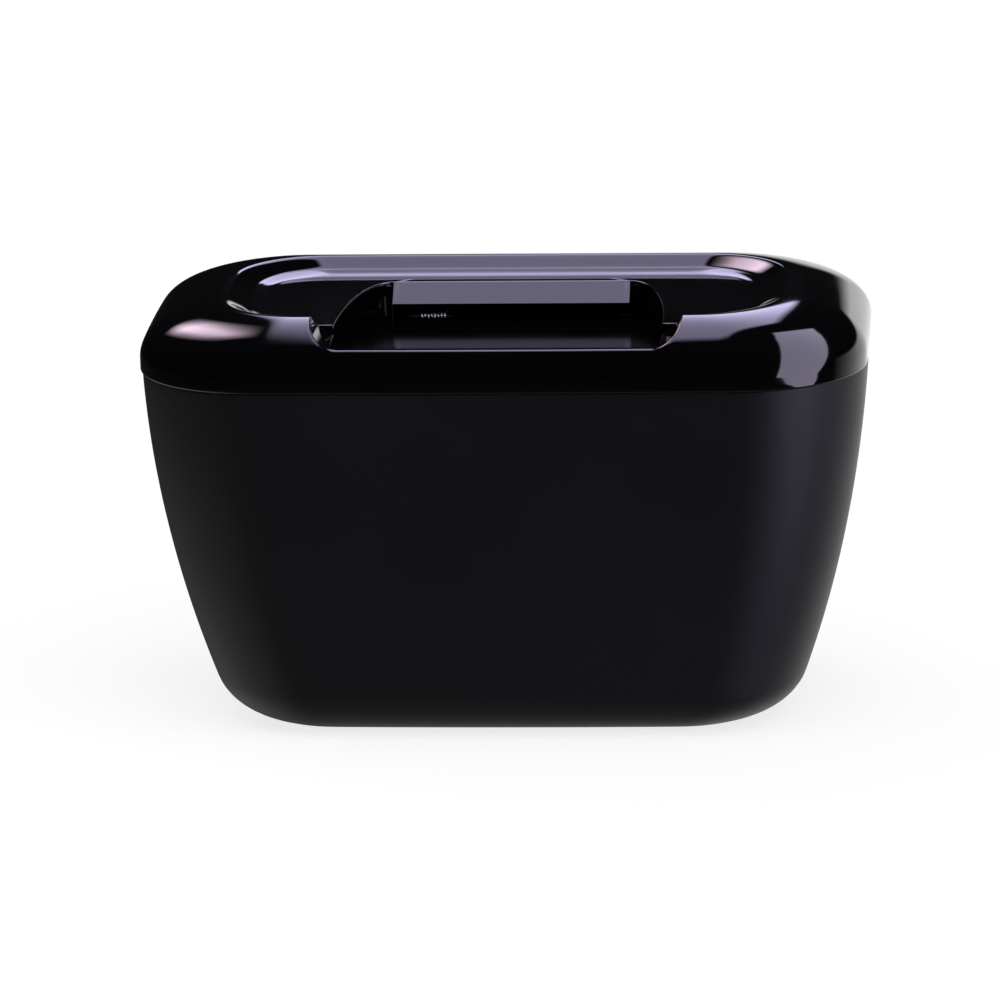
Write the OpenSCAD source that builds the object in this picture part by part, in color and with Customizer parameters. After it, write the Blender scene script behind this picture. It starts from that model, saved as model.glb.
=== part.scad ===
// Car trash bin: a hollow hanging bin, a dished cover that pushes onto its rim, a sprung
// push flap under the cover's mouth, and a clip that slides into a socket on the back.
// Millimetres, +Z up, -Y is the front. The origin is under the middle of the bin, on its base.

/* [Bin] */
// Width of the bin at the seam under the cover
bin_w = 169; // [135:1:205]
// Depth of the bin at the seam, front to back
bin_d = 84; // [76:1:110]
// Height of the seam above the base
seam_z = 84.5; // [68:0.5:130]
// How far each side wall comes in between the seam and the base
side_lean = 18.6; // [8:0.2:24]
// How far the front wall comes in between the seam and the base
front_lean = 6.4; // [2:0.2:9]
// How far the back wall comes in between the seam and the base
back_lean = 2.4; // [0:0.2:6]
// Radius that rolls the walls into the base
base_r = 10; // [6:0.5:12]
// Radius of the front corners, seen from above
front_corner_r = 26; // [20:1:32]
// Radius of the back corners, seen from above
back_corner_r = 22; // [18:1:30]
// How far the front bows out in its middle
front_bow = 1.2; // [0:0.1:3]
// How far each side bows out in its middle
side_bow = 1; // [0:0.1:3]
// Thickness of the bin's wall
bin_wall = 2.2; // [1.6:0.1:3]
// Thickness of the bin's floor
bin_floor = 2.6; // [1.8:0.1:4]
// Height of the neck that the cover pushes onto
neck_h = 4; // [3:0.1:6]
// Thickness of the neck
neck_wall = 1.6; // [1.2:0.1:2.4]

/* [Cover] */
// Height of the cover from the seam to its crest
cover_h = 15.5; // [13:0.1:20]
// Upright band at the bottom of the cover
band_h = 3; // [2:0.1:4]
// Thickness of the cover
cover_wall = 2; // [1.5:0.1:2.6]
// How far the cover stands out past the bin at the seam
cover_lap = 0.5; // [0:0.1:1]
// Gap between the cover's skirt and the bin's neck
neck_gap = 0.3; // [0.2:0.05:0.6]
// Width of the rounded shoulder along the front and the back
shoulder_d = 12; // [9:0.5:16]
// Width of the rounded shoulder at each end
shoulder_w = 19.3; // [12:0.1:24]
// Radius of the crest's corners, seen from above
crest_r = 19; // [12:0.5:24]
// Depth of the dish below the crest
dish_depth = 3; // [2:0.1:4.5]
// Width of the slope from the crest to the dish, at each end
slope_end = 6.5; // [4:0.1:9]
// Width of that slope along the front
slope_front = 2.9; // [2:0.1:4]
// Width of that slope along the back
slope_back = 3; // [1.6:0.1:4]
// Height of the gentle rise round the edge of the dish's floor
rise_h = 0.5; // [0:0.1:1]
// Width of that rise at each end
rise_end = 3; // [1:0.5:5]
// Width of that rise along the front
rise_front = 0.7; // [0.4:0.1:1.5]
// Width of that rise along the back
rise_back = 8; // [3:0.5:9]

/* [Mouth] */
// Width of the mouth along its back edge
mouth_w = 56; // [46:1:66]
// How far each side of the mouth swells out towards the front
mouth_swell = 10; // [4:0.5:12]
// Distance of the mouth's back edge from the inner edge of the crest behind it
mouth_setback = 14.5; // [10:0.5:20]
// Width of the flat bottom of the notch through the front of the cover
notch_w = 72; // [60:1:78]
// Depth of the notch below the crest
notch_drop = 5.6; // [4:0.1:6.5]
// Radius of the notch's lower corners
notch_r = 7; // [6.6:0.1:9]
// Depth of the mouth's cheeks below the dish
cheek_h = 8.4; // [7:0.1:10]
// Thickness of the mouth's cheeks
cheek_wall = 2; // [1.4:0.1:2.6]
// Height of the leaning panel at the back of the mouth
panel_h = 4.2; // [3.5:0.1:5]
// How far that panel's lower edge comes forward
panel_lean = 4.8; // [1:0.1:6]

/* [Flap and hinge] */
// Thickness of the flap
flap_t = 2; // [1.6:0.1:2.6]
// How far the flap reaches past the mouth, under the cheeks
flap_lap = 1; // [0.6:0.1:1.6]
// Gap between the closed flap and the cheeks above it
flap_gap = 0.2; // [0.15:0.05:0.5]
// Diameter of the hinge pin
pin_d = 2; // [1.6:0.1:2.6]
// Play of the flap on the pin, on the radius
pin_play = 0.06; // [0.03:0.01:0.1]
// Play of the pin in the cover's lugs, on the radius
pin_seat = 0.02; // [0.01:0.01:0.05]
// Distance of the hinge pin behind the mouth's back edge
pin_back = 2.2; // [2:0.1:4]
// Outer radius of the flap's hinge barrels
barrel_r = 2.3; // [2:0.1:2.6]
// Outer radius of the lugs that hold the pin
lug_r = 3; // [2.6:0.1:3.6]
// Thickness of each lug
lug_t = 3; // [2:0.1:4]
// Width of the short barrel at the flap's left end
left_barrel_w = 3.4; // [2.5:0.1:5]
// Width of the space for the spring
spring_space = 11; // [9:0.5:14]
// Width of the bare stretch of pin at the right end
right_space = 3; // [2:0.1:5]

/* [Spring] */
// Diameter of the spring's wire
wire_d = 0.7; // [0.5:0.05:0.8]
// Number of turns in the spring
spring_turns = 8; // [5:1:9]
// Gap between the spring's coil and the pin
coil_gap = 0.3; // [0.2:0.05:0.4]
// Length of the spring's leg along the flap
flap_leg = 11; // [8:0.5:16]
// Length of the spring's leg on the cover
cover_leg = 4.6; // [3.5:0.1:5]

/* [Clip] */
// Width of the clip's strap
strap_w = 26; // [20:1:36]
// Thickness of the strap
strap_t = 2.4; // [2:0.1:3.2]
// Width of the gap that hangs over an edge
hang_gap = 12; // [8:0.5:18]
// Length of the clip's outer leg below its bend
outer_leg = 28; // [20:1:36]
// Height of the middle of the bend above the seam
bend_rise = 1.5; // [-2:0.5:5]
// Distance of the socket's upper end below the seam
socket_drop = 12.5; // [10:0.5:20]
// Height of the socket's rails
socket_h = 28; // [22:0.5:30]
// Width of each rail
rail_w = 3.5; // [2.5:0.1:5]
// How far each rail's lip reaches over the strap
lip_reach = 3; // [2:0.1:4]
// Gap between the strap and its socket
strap_gap = 0.3; // [0.2:0.05:0.5]
// Distance of the strap behind the cover
strap_clear = 0.8; // [0.5:0.1:2]

/* [Hidden] */

matte_black = "#18181a";
gloss_black = "#09090b";
bright_steel = "#b8babd";

// Steps round each corner, along each side, up the walls and over each rounded edge
corner_steps = 8;
side_steps = 4;
wall_steps = 6;
round_steps = 5;
// Share of a wall's lean that is straight; the rest curves in towards the base
straight_share = 0.2;
// Share of a corner's radius that is lost between the seam and the base
corner_loss = 0.3;
// Length by which a cutting shape runs past what it cuts
past = 1;
// Depth by which a shape runs into the one that it is part of
bite = 0.5;

// The seam's outline, as half width, front and back
seam_x = bin_w / 2;
seam_y = bin_d / 2;
// The neck stands inside the cover's skirt
neck_in = cover_wall - cover_lap + neck_gap;
neck_top = seam_z + neck_h;
rim_in = neck_in + neck_wall;
// Height below the seam at which the wall thickens towards the neck
rim_h = 6;
// Lead-in at the top of the neck
neck_lead = 0.8;

// The cover's heights and the crest's outline
crest_z = seam_z + cover_h;
band_z = seam_z + band_h;
dish_z = crest_z - dish_depth;
cover_x = seam_x + cover_lap;
cover_y = seam_y + cover_lap;
crest_y = cover_y - shoulder_d;
// The underside's slope starts this much further in, so the steep parts keep their thickness
slope_under = 1.2;

// The mouth, from its back edge to the notch's sill
mouth_back = crest_y - mouth_setback;
mouth_x = mouth_w / 2 + mouth_swell;
notch_z = crest_z - notch_drop;
// Where the shoulder's outer face stands at the height of the notch
sill_turn = asin((notch_z - band_z) / (crest_z - band_z));
sill_y = crest_y + shoulder_d * cos(sill_turn);
mouth_front = -(sill_y - cover_wall);
// The swell is a quarter of an ellipse, which ends where the front slope starts
notch_back = -(crest_y - slope_front - rise_front - past);
swell_d = mouth_back - notch_back;
swell_steps = 12;
cheek_z = dish_z - cheek_h;
panel_z = dish_z - panel_h;

// The hinge: the pin's axis and what turns on it
pin_y = mouth_back + pin_back;
flap_top = cheek_z - flap_gap;
flap_low = flap_top - flap_t;
// The barrels' lower sides stand a little below the flap
pin_z = flap_low + barrel_r - bite;
lug_gap = 0.4;
lug_in = mouth_w / 2 + lug_gap;
pin_half = lug_in + lug_t;
barrel_end = lug_in - lug_gap;
spring_left = -barrel_end + left_barrel_w;
spring_right = spring_left + spring_space;
barrel_right = lug_in - right_space;
// The flap clears the lugs and the spring all round the pin
wide_from = pin_y - lug_r - lug_gap;
// The flap's front edge passes behind the bin's neck
neck_pass = 1.4;
flap_front = -(seam_y - rim_in - neck_pass);
flap_corner = 5;

// The wall behind the pin, under the dish
back_wall_t = 1.8;
back_wall_y = pin_y + barrel_r + lug_gap;
back_wall_low = 1;

coil_r = pin_d / 2 + coil_gap + wire_d / 2;
coil_w = spring_turns * wire_d * 1.15;
coil_start = (spring_left + spring_right - coil_w) / 2;
coil_steps = 14;
// Gap between the spring's legs and what they press on
leg_gap = 0.1;
wire_sides = 6;

// The clip's socket and bend keep their distances from the seam
socket_z = seam_z - socket_drop - socket_h;
bend_z = seam_z + bend_rise;
// The clip's strap stands behind the cover
strap_y = cover_y + strap_clear;
strap_back = strap_y + strap_t;
clip_outer_y = strap_back + hang_gap;
bend_r = hang_gap / 2;
socket_floor_t = 3;
lip_t = 2;
socket_x = strap_w / 2 + strap_gap;
lip_y = strap_back + strap_gap;
clip_tip_r = 2;

// One rounded corner of a level outline
function corner(centre, r, from) =
    [for (i = [0 : corner_steps]) centre + r * [cos(from + 90 * i / corner_steps),
                                                sin(from + 90 * i / corner_steps)]];

// The points along a straight side, without its ends
function along(a, b) = [for (i = [1 : side_steps - 1]) a + (b - a) * i / side_steps];

// The front and the ends of an outline bow, and their middles stay where they are
function bowed(points, hx, yf, yb) =
    let (mid = (yf + yb) / 2, half = (yb - yf) / 2)
    [for (p = points)
        let (across = pow(p[0] / hx, 2), deep = pow((p[1] - mid) / half, 2))
        [p[0] - sign(p[0]) * side_bow * deep, p[1] + (p[1] < mid ? front_bow * across : 0)]];

// A level outline, anticlockwise from above: half width, front, back and corner radii
function outline(hx, yf, yb, rf, rb) =
    let (f = [hx - rf, yf + rf], b = [hx - rb, yb - rb])
    bowed(concat(corner(f, rf, -90), along([hx, f[1]], [hx, b[1]]),
                 corner(b, rb, 0), along([b[0], yb], [-b[0], yb]),
                 corner([-b[0], b[1]], rb, 90), along([-hx, b[1]], [-hx, f[1]]),
                 corner([-f[0], f[1]], rf, 180), along([-f[0], yf], [f[0], yf])), hx, yf, yb);

function level(points, z) = [for (p = points) [p[0], p[1], z]];

// A closed solid through a list of outlines, with a cap on the first and the last
module skin(rings) {
    n = len(rings[0]);
    last = len(rings) - 1;
    walls = [for (k = [0 : last - 1]) for (i = [0 : n - 1])
        let (j = (i + 1) % n, low = k * n, high = low + n)
        each [[low + i, high + i, high + j], [low + i, high + j, low + j]]];
    first_cap = [for (i = [0 : n - 1]) i];
    last_cap = [for (i = [n - 1 : -1 : 0]) last * n + i];
    polyhedron([for (ring = rings) each ring], concat([first_cap], walls, [last_cap]));
}

// How far a wall has come in at a height, as a share of its whole lean
function lean_share(z) =
    let (u = 1 - z / seam_z)
    straight_share * u + (1 - straight_share) * u * u;

// How far the roll into the base has come in, a height above its start
function roll_in(h, r) = h >= r ? 0 : r - sqrt(max(0, r * r - pow(r - h, 2)));

// One level outline of the bin, a distance inside its outer face
function bin_ring(z, inside, rolled) =
    let (share = lean_share(z), in = inside + rolled, keep = 1 - corner_loss * (1 - z / seam_z))
    level(outline(seam_x - side_lean * share - in,
                  -(seam_y - front_lean * share - in),
                  seam_y - back_lean * share - in,
                  front_corner_r * keep - in, back_corner_r * keep - in), z);

// The rounded part of the base, inside or out, then the wall up to a height
function base_heights(r, from) = [for (i = [0 : round_steps]) from + r * (1 - cos(90 * i / round_steps))];
function wall_heights(from, to) = [for (i = [1 : wall_steps]) from + (to - from) * i / wall_steps];

function bin_outside() =
    concat([for (z = base_heights(base_r, 0)) bin_ring(z, 0, roll_in(z, base_r))],
           [for (z = wall_heights(base_r, seam_z)) bin_ring(z, 0, 0)]);

function bin_inside() =
    let (r = base_r - bin_wall, from = bin_floor, top = seam_z - 2 * rim_h)
    concat([for (z = base_heights(r, from)) bin_ring(z, bin_wall, roll_in(z - from, r))],
           [for (z = wall_heights(from + r, top)) bin_ring(z, bin_wall, 0)]);

// The seam's outline at any height above it, for the neck and the rim
function rim_ring(z, inside) =
    level(outline(seam_x - inside, -(seam_y - inside), seam_y - inside,
                  front_corner_r - inside, back_corner_r - inside), z);

module bin_shell() {
    down = bin_inside();
    skin(concat(bin_outside(),
                [rim_ring(seam_z, neck_in), rim_ring(neck_top - neck_lead * 2, neck_in),
                 rim_ring(neck_top, neck_in + neck_lead), rim_ring(neck_top, rim_in),
                 rim_ring(seam_z, rim_in), bin_ring(seam_z - rim_h, rim_in, 0)],
                [for (i = [len(down) - 1 : -1 : 0]) down[i]]));
}

// The socket on the back: a pad, two rails with lips that hold the strap, and a floor
module clip_socket() {
    outer = socket_x + rail_w;
    front = seam_y - back_lean - bite;
    pad_y = strap_y - strap_gap;
    translate([-outer, front, socket_z])
        cube([2 * outer, pad_y - front, socket_h]);
    translate([-outer, front, socket_z - socket_floor_t])
        cube([2 * outer, lip_y + lip_t - front, socket_floor_t]);
    for (s = [-1, 1])
        translate([s * (socket_x + rail_w / 2) - rail_w / 2, pad_y - bite, socket_z - bite])
            cube([rail_w, lip_y + lip_t - pad_y + bite, socket_h + bite]);
    for (s = [-1, 1])
        translate([s * (outer - (rail_w + lip_reach) / 2) - (rail_w + lip_reach) / 2, lip_y, socket_z - bite])
            cube([rail_w + lip_reach, lip_t, socket_h + bite]);
}

module bin() {
    color(matte_black)
        difference() {
            union() {
                bin_shell();
                clip_socket();
            }
            // The inside stays clear of the socket's pad
            translate([-socket_x - rail_w - past, 0, socket_z - socket_floor_t - past])
                cube([2 * (socket_x + rail_w + past),
                      seam_y - back_lean - bin_wall - bite,
                      socket_h + socket_floor_t + 2 * past]);
        }
}

// One level outline of the cover: how far in from its lower edge at the ends and along its
// front and back, with the corner radius shrinking from the seam's to the crest's
function cover_ring(z, in_end, in_front, in_back, rf, rb) =
    level(outline(cover_x - in_end, -(cover_y - in_front), cover_y - in_back, rf, rb), z);

// The shoulder at a turn of 0 to 90 degrees, a wall's thickness further in where asked
function shoulder_ring(turn, inside) =
    let (s = 1 - cos(turn), w = (shoulder_w - inside) * s + inside, d = (shoulder_d - inside) * s + inside)
    cover_ring(band_z + (crest_z - inside - band_z) * sin(turn), w, d, d,
               (front_corner_r + cover_lap - inside) * (1 - s) + crest_r * s,
               (back_corner_r + cover_lap - inside) * (1 - s) + crest_r * s);

// A straight ramp with a rounded start and end, each a share of its width
ramp_round = 0.25;
function ramp(s) =
    (s < ramp_round ? s * s / (2 * ramp_round)
     : s > 1 - ramp_round ? 1 - ramp_round - (1 - s) * (1 - s) / (2 * ramp_round)
     : s - ramp_round / 2) / (1 - ramp_round);

// The slope from the crest into the dish, as a share of its width, then the gentle rise of the
// floor's edge. The underside slopes all the way at once.
function slope_ring(share, inside, drop, under) =
    cover_ring(crest_z - inside - drop * ramp(share),
               shoulder_w + (slope_end + under) * share,
               shoulder_d + (slope_front + under) * share,
               shoulder_d + (slope_back + under) * share,
               crest_r - (slope_front + under) * share, crest_r - (slope_back + under) * share);

function rise_ring(share) =
    cover_ring(dish_z + rise_h * pow(1 - share, 2),
               shoulder_w + slope_end + rise_end * share,
               shoulder_d + slope_front + rise_front * share,
               shoulder_d + slope_back + rise_back * share,
               crest_r - slope_front - rise_front * share, crest_r - slope_back - rise_back * share);

shoulder_steps = 7;
slope_steps = 6;
turns = [for (i = [0 : shoulder_steps]) 90 * i / shoulder_steps];
shares = [for (i = [1 : slope_steps]) i / slope_steps];
rise_steps = 4;
dish_rings = concat([for (share = shares) slope_ring(share, 0, dish_depth - rise_h, 0)],
                    [for (i = [1 : rise_steps]) rise_ring(i / rise_steps)]);

// The space under the cover's outer face, with nothing hollowed out
module cover_solid() {
    skin(concat([for (turn = turns) shoulder_ring(turn, 0)], dish_rings));
}

module cover_shell() {
    edge = [cover_wall, cover_wall, cover_wall,
            front_corner_r + cover_lap - cover_wall, back_corner_r + cover_lap - cover_wall];
    skin(concat([for (i = [slope_steps - 1 : -1 : 0]) slope_ring(shares[i], cover_wall, dish_depth, slope_under)],
                [for (i = [shoulder_steps : -1 : 0]) shoulder_ring(turns[i], cover_wall)],
                [cover_ring(seam_z, edge[0], edge[1], edge[2], edge[3], edge[4])],
                [cover_ring(seam_z, 0, 0, 0, front_corner_r + cover_lap, back_corner_r + cover_lap)],
                [for (turn = turns) shoulder_ring(turn, 0)], dish_rings));
}

// The mouth seen from above, grown by a margin all round
function mouth_side(margin) =
    [for (i = [0 : swell_steps])
        let (a = 90 * i / swell_steps)
        [mouth_w / 2 + margin + mouth_swell * sin(a),
         mouth_back + margin - (swell_d + margin) * (1 - cos(a))]];

module mouth_outline(margin, front, back) {
    right = [for (p = mouth_side(margin)) [p[0], min(p[1], back)]];
    left = [for (i = [len(right) - 1 : -1 : 0]) [-right[i][0], right[i][1]]];
    polygon(concat(right, [[mouth_x + margin, front], [-mouth_x - margin, front]], left));
}

// The notch through the front, seen from the front: a flat sill with round lower corners
module notch_outline() {
    half = notch_w / 2;
    round_z = notch_z + notch_r;
    translate([-half, notch_z])
        square([notch_w, crest_z - notch_z + past]);
    for (s = [-1, 1])
        translate([s * half, round_z])
            intersection() {
                circle(r = notch_r, $fn = 48);
                translate([-notch_r, -notch_r])
                    square([2 * notch_r, crest_z - round_z + notch_r + past]);
            }
}

module mouth_cut() {
    translate([0, 0, cheek_z - past])
        linear_extrude(height = crest_z - cheek_z + 2 * past)
            mouth_outline(0, mouth_front + bite, mouth_back);
    translate([0, notch_back, 0])
        rotate([90, 0, 0])
            linear_extrude(height = cover_y + notch_back + 4 * past)
                notch_outline();
}

// The cheeks hang from the dish all along the mouth's sides
module cheeks() {
    translate([0, 0, cheek_z])
        linear_extrude(height = dish_z - cheek_z - bite)
            intersection() {
                difference() {
                    mouth_outline(cheek_wall, mouth_front, mouth_back + cheek_wall);
                    mouth_outline(0, mouth_front - past, mouth_back);
                    // The back edge is left to the leaning panel and the hinge
                    translate([-lug_in, mouth_back - bite])
                        square([2 * lug_in, lug_r + cheek_wall]);
                }
                translate([-cover_x, mouth_front])
                    square([2 * cover_x, mouth_back + lug_r - mouth_front]);
            }
}

// The block behind each side of the notch, just under the cover's outer face
module notch_backing() {
    wide = notch_w / 2 + notch_r + cheek_wall - mouth_x;
    front = mouth_front + bite;
    low = notch_z - cheek_wall;
    intersection() {
        translate([0, 0, -bite])
            cover_solid();
        for (s = [-1, 1])
            translate([s * (mouth_x + wide / 2) - wide / 2, front, low])
                cube([wide, notch_back + cheek_wall - front, crest_z - low]);
    }
}

// The leaning panel at the back of the mouth, seen from the side
module back_panel() {
    top = dish_z - bite;
    rotate([90, 0, 90])
        translate([0, 0, -mouth_w / 2 - bite])
            linear_extrude(height = mouth_w + 2 * bite)
                polygon([[mouth_back, top], [mouth_back - panel_lean, panel_z],
                         [mouth_back - panel_lean + cheek_wall, panel_z], [mouth_back + cheek_wall, top]]);
}

// The wall behind the hinge, which closes the space under the dish
module hinge_wall() {
    low = pin_z + back_wall_low;
    translate([-pin_half, back_wall_y, low])
        cube([2 * pin_half, back_wall_t, dish_z - bite - low]);
}

// A lug at each end of the pin, round at its foot
module lugs() {
    for (s = [-1, 1])
        translate([s * (lug_in + lug_t / 2) - lug_t / 2, pin_y, pin_z]) {
            translate([0, -lug_r, 0])
                cube([lug_t, 2 * lug_r, dish_z - bite - pin_z]);
            rotate([0, 90, 0])
                cylinder(r = lug_r, h = lug_t, $fn = 48);
        }
}

module cover() {
    color(gloss_black)
        difference() {
            union() {
                difference() {
                    union() {
                        cover_shell();
                        cheeks();
                        notch_backing();
                    }
                    mouth_cut();
                }
                back_panel();
                hinge_wall();
                lugs();
            }
            translate([-pin_half - past, pin_y, pin_z])
                rotate([0, 90, 0])
                    cylinder(r = pin_d / 2 + pin_seat, h = 2 * (pin_half + past), $fn = 48);
        }
}

// The flap's plate from above: under the cheeks on both sides, narrower between the lugs
module flap_outline() {
    difference() {
        union() {
            intersection() {
                mouth_outline(flap_lap, flap_front, mouth_back + flap_lap);
                translate([-cover_x, flap_front])
                    square([2 * cover_x, wide_from - flap_front]);
            }
            translate([-barrel_end, wide_from - bite])
                square([2 * barrel_end, pin_y - wide_from + bite]);
        }
        // Room for the spring, and for the bare stretch of pin
        translate([spring_left, pin_y - lug_r])
            square([spring_space, lug_r + past]);
        translate([barrel_right, pin_y - lug_r])
            square([right_space + past, lug_r + past]);
        // Round front corners
        for (s = [-1, 1])
            translate([s * (mouth_x + flap_lap - flap_corner), flap_front + flap_corner])
                difference() {
                    translate([s > 0 ? 0 : -flap_corner - past, -flap_corner - past])
                        square([flap_corner + past, flap_corner + past]);
                    circle(r = flap_corner, $fn = 48);
                }
    }
}

module barrel(from, to) {
    translate([from, pin_y, pin_z])
        rotate([0, 90, 0])
            cylinder(r = barrel_r, h = to - from, $fn = 48);
}

module push_flap() {
    color(gloss_black)
        difference() {
            union() {
                translate([0, 0, flap_low])
                    linear_extrude(height = flap_t)
                        flap_outline();
                barrel(-barrel_end, spring_left);
                barrel(spring_right, barrel_right);
            }
            translate([-pin_half - past, pin_y, pin_z])
                rotate([0, 90, 0])
                    cylinder(r = pin_d / 2 + pin_play, h = 2 * (pin_half + past), $fn = 48);
        }
}

module hinge_pin() {
    color(bright_steel)
        translate([-pin_half, pin_y, pin_z])
            rotate([0, 90, 0])
                cylinder(d = pin_d, h = 2 * pin_half, $fn = 48);
}

// The spring's wire: a leg under the flap, the coil round the pin, a leg on the wall behind it
function spring_path() =
    let (turn = 360 * spring_turns + 90, steps = round(coil_steps * turn / 360),
         under = flap_low - pin_z - wire_d / 2 - leg_gap)
    concat([[coil_start, -flap_leg, under], [coil_start, -lug_r, under]],
           [for (i = [0 : steps])
               let (a = -90 + turn * i / steps)
               [coil_start + coil_w * i / steps, coil_r * cos(a), coil_r * sin(a)]],
           [[coil_start + coil_w, back_wall_y - pin_y - wire_d / 2 - leg_gap, cover_leg]]);

// A tube swept along a list of points that winds about the X axis
function unit(v) = v / norm(v);
function ring_at(path, i) =
    let (last = len(path) - 1,
         ahead = unit(path[min(i + 1, last)] - path[max(i - 1, 0)]),
         side = unit(cross(ahead, cross([1, 0, 0], ahead))),
         up = cross(side, ahead))
    [for (k = [0 : wire_sides - 1])
        let (a = 360 * k / wire_sides)
        path[i] + wire_d / 2 * (cos(a) * side + sin(a) * up)];

module flap_spring() {
    path = spring_path();
    color(bright_steel)
        translate([0, pin_y, pin_z])
            skin([for (i = [0 : len(path) - 1]) ring_at(path, i)]);
}

// The clip: a strap in the socket, a bend over the top and a leg down the other side
module clip_side() {
    low = socket_z;
    translate([strap_y, low])
        square([strap_t, bend_z - low]);
    translate([clip_outer_y, bend_z - outer_leg])
        square([strap_t, outer_leg]);
    translate([strap_back + bend_r, bend_z])
        difference() {
            circle(r = bend_r + strap_t, $fn = 64);
            circle(r = bend_r, $fn = 64);
            translate([-bend_r - strap_t - past, -bend_r - strap_t - past])
                square([2 * (bend_r + strap_t + past), bend_r + strap_t + past]);
        }
    // A round bead at the tip, which grips the edge
    translate([clip_outer_y + strap_t - clip_tip_r, bend_z - outer_leg])
        circle(r = clip_tip_r, $fn = 32);
}

module hanging_clip() {
    color(matte_black)
        rotate([90, 0, 90])
            translate([0, 0, -strap_w / 2])
                linear_extrude(height = strap_w)
                    clip_side();
}

bin();
cover();
push_flap();
hinge_pin();
flap_spring();
hanging_clip();
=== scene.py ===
"""A hanging car trash bin: a matte tub, a gloss dished cover with a sprung push flap, and a clip.

Sizes in the classes are millimetres, in the part's own frame: X to the right, -Y to the front,
Z up, with the origin under the middle of the tub. Meshes are made in metres.
"""
import logging
import math
from contextlib import contextmanager
from dataclasses import dataclass, field
from enum import Enum
from typing import Any, Callable, Iterator, Sequence

import bmesh
import bpy
import numpy as np
from mathutils import Matrix, Vector


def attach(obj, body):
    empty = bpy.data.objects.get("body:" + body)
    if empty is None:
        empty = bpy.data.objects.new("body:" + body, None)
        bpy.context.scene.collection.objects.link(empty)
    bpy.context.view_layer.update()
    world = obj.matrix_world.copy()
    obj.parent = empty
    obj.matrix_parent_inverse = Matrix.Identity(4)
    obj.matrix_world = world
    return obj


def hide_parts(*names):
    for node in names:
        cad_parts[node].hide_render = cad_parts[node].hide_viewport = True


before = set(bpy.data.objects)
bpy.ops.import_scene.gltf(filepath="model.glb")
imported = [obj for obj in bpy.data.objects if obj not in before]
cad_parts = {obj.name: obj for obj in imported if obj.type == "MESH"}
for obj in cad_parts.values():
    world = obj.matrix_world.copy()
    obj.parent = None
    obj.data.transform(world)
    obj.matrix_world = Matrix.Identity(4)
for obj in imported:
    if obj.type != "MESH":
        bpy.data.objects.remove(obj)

logging.basicConfig(level=logging.INFO, format="%(message)s")
LOG = logging.getLogger("trash_bin")

MM = 0.001
Point = tuple[float, float, float]
Spot = tuple[float, float]
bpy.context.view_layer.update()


class Body(Enum):
    """The bodies that the pieces move with."""

    BIN = "bin_body"
    COVER = "cover_body"
    FLAP = "flap_body"
    CLIP = "clip_body"


class Slot(Enum):
    """The record's material slots."""

    MATTE = "matte_black_plastic"
    GLOSS = "gloss_black_plastic"
    STEEL = "bright_steel"


# Shader maths


@dataclass(frozen=True)
class Signal:
    """An output socket that Python's operators work on, through Math nodes."""

    recipe: "Recipe"
    socket: Any

    def _maths(self, kind: str, first: Any, second: Any) -> "Signal":
        """Adds a Math node of a kind, on two values or sockets."""
        return self.recipe.node("ShaderNodeMath", {"operation": kind}, {0: first, 1: second})

    def __add__(self, other: Any) -> "Signal":
        """self + other"""
        return self._maths("ADD", self, other)

    def __radd__(self, other: Any) -> "Signal":
        """other + self"""
        return self._maths("ADD", other, self)

    def __sub__(self, other: Any) -> "Signal":
        """self - other"""
        return self._maths("SUBTRACT", self, other)

    def __rsub__(self, other: Any) -> "Signal":
        """other - self"""
        return self._maths("SUBTRACT", other, self)

    def __mul__(self, other: Any) -> "Signal":
        """self * other"""
        return self._maths("MULTIPLY", self, other)

    def __rmul__(self, other: Any) -> "Signal":
        """other * self"""
        return self._maths("MULTIPLY", other, self)

    def __truediv__(self, other: Any) -> "Signal":
        """self / other"""
        return self._maths("DIVIDE", self, other)


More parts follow.
